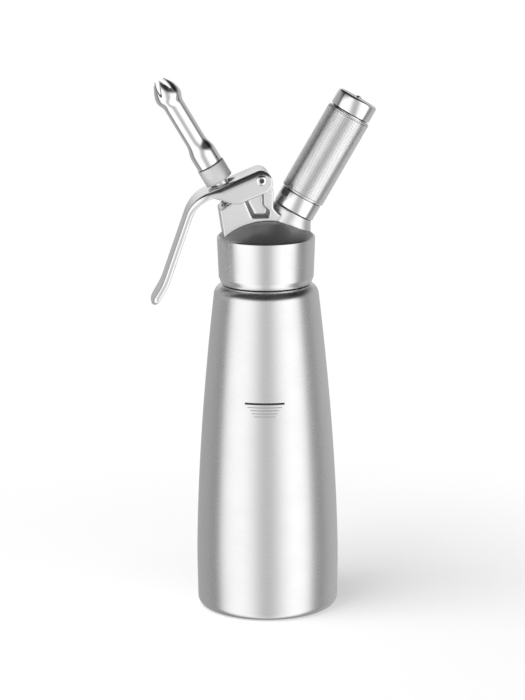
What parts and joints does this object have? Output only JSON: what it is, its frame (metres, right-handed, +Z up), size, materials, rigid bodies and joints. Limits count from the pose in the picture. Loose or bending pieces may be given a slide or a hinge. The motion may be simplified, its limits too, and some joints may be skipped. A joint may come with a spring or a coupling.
{
  "type": "whipped cream dispenser",
  "caption": "Steel pressure bottle with a domed screw-on head, a sprung squeeze lever, a tulip nozzle on one raked arm and a knurled charger holder on the other.",
  "frame": {"origin": "centre of the bottle's base, on the plane it stands on", "axes": "+Z up along the bottle's axis; the nozzle and the lever lean to -X, the charger holder to +X; the lever's pin runs along Y"},
  "size_m": [0.1228, 0.0782, 0.294],
  "materials": {
    "brushed_steel": "stainless steel, turned with a fine brushed grain round the axis",
    "polished_steel": "stainless steel, mirror polished",
    "satin_casting": "stainless steel casting, satin blasted",
    "spring_steel": "drawn stainless spring wire",
    "zinced_charger": "zinc-plated mild steel",
    "pale_silicone": "matte silicone",
    "black_rubber": "matte rubber",
    "white_bush": "plain moulded plastic"
  },
  "bodies": {
    "bottle": {"bottle_body": "brushed_steel", "neck_thread_ring": "brushed_steel"},
    "gasket": {"head_gasket": "pale_silicone"},
    "head": {"head_cap": "brushed_steel", "head_casting": "satin_casting", "pivot_bush": "white_bush", "valve_spring": "spring_steel", "charger_inlet": "polished_steel", "piercing_pin": "polished_steel", "charger_seal": "black_rubber", "check_valve_screw": "polished_steel", "check_valve_sleeve": "black_rubber"},
    "lever": {"lever": "satin_casting", "lever_pin": "polished_steel", "lever_screw": "polished_steel"},
    "stem": {"valve_stem": "polished_steel", "stem_collar": "polished_steel", "stem_o_ring": "black_rubber", "valve_seal": "pale_silicone", "valve_seal_nut": "polished_steel", "nozzle_adapter": "satin_casting"},
    "nozzle_ring": {"nozzle_o_ring": "black_rubber"},
    "nozzle": {"nozzle_tip": "polished_steel"},
    "charger": {"gas_charger": "zinced_charger"},
    "holder": {"holder_body": "polished_steel", "holder_grip": "satin_casting", "holder_end_cap": "polished_steel", "cap_button": "polished_steel"}
  },
  "joints": [
    {"name": "gasket_lift", "type": "slide", "parent": "bottle", "child": "gasket", "axis": [0, 0, 1], "range_m": [0, 0.00899]},
    {"name": "head_turn", "type": "hinge", "parent": "gasket", "child": "head", "pos_m": [0, 0, 0.19], "axis": [0, 0, 1], "range_deg": [0, 1080]},
    {"name": "lever_squeeze", "type": "hinge", "parent": "head", "child": "lever", "pos_m": [-0.0035, 0, 0.2394], "axis": [0, -1, 0], "range_deg": [0, 9.5], "stiffness_Nm_per_rad": 0.98, "springref_deg": -12.03},
    {"name": "stem_slide", "type": "slide", "parent": "head", "child": "stem", "axis": [0.506, 0, -0.8625], "range_m": [0, 0.00311], "deforming": ["valve_spring"]},
    {"name": "nozzle_lift", "type": "slide", "parent": "stem", "child": "nozzle_ring", "axis": [-0.506, 0, 0.8625], "range_m": [0, 0.00499]},
    {"name": "nozzle_turn", "type": "hinge", "parent": "nozzle_ring", "child": "nozzle", "pos_m": [0, 0, 0.1953], "axis": [-0.506, 0, 0.8625], "range_deg": [0, 1440]},
    {"name": "charger_lift", "type": "slide", "parent": "head", "child": "charger", "axis": [0.506, 0, 0.8625], "range_m": [0, 0.00899]},
    {"name": "holder_turn", "type": "hinge", "parent": "charger", "child": "holder", "pos_m": [0, 0, 0.1953], "axis": [0.506, 0, 0.8625], "range_deg": [0, 2160]}
  ],
  "couplings": [
    {"joint": "head_turn", "follows": "gasket_lift", "rad_per_m": 2094.4},
    {"joint": "lever_squeeze", "follows": "stem_slide", "rad_per_m": 53.22},
    {"joint": "nozzle_turn", "follows": "nozzle_lift", "rad_per_m": 5026.5},
    {"joint": "holder_turn", "follows": "charger_lift", "rad_per_m": 4188.8}
  ]
}
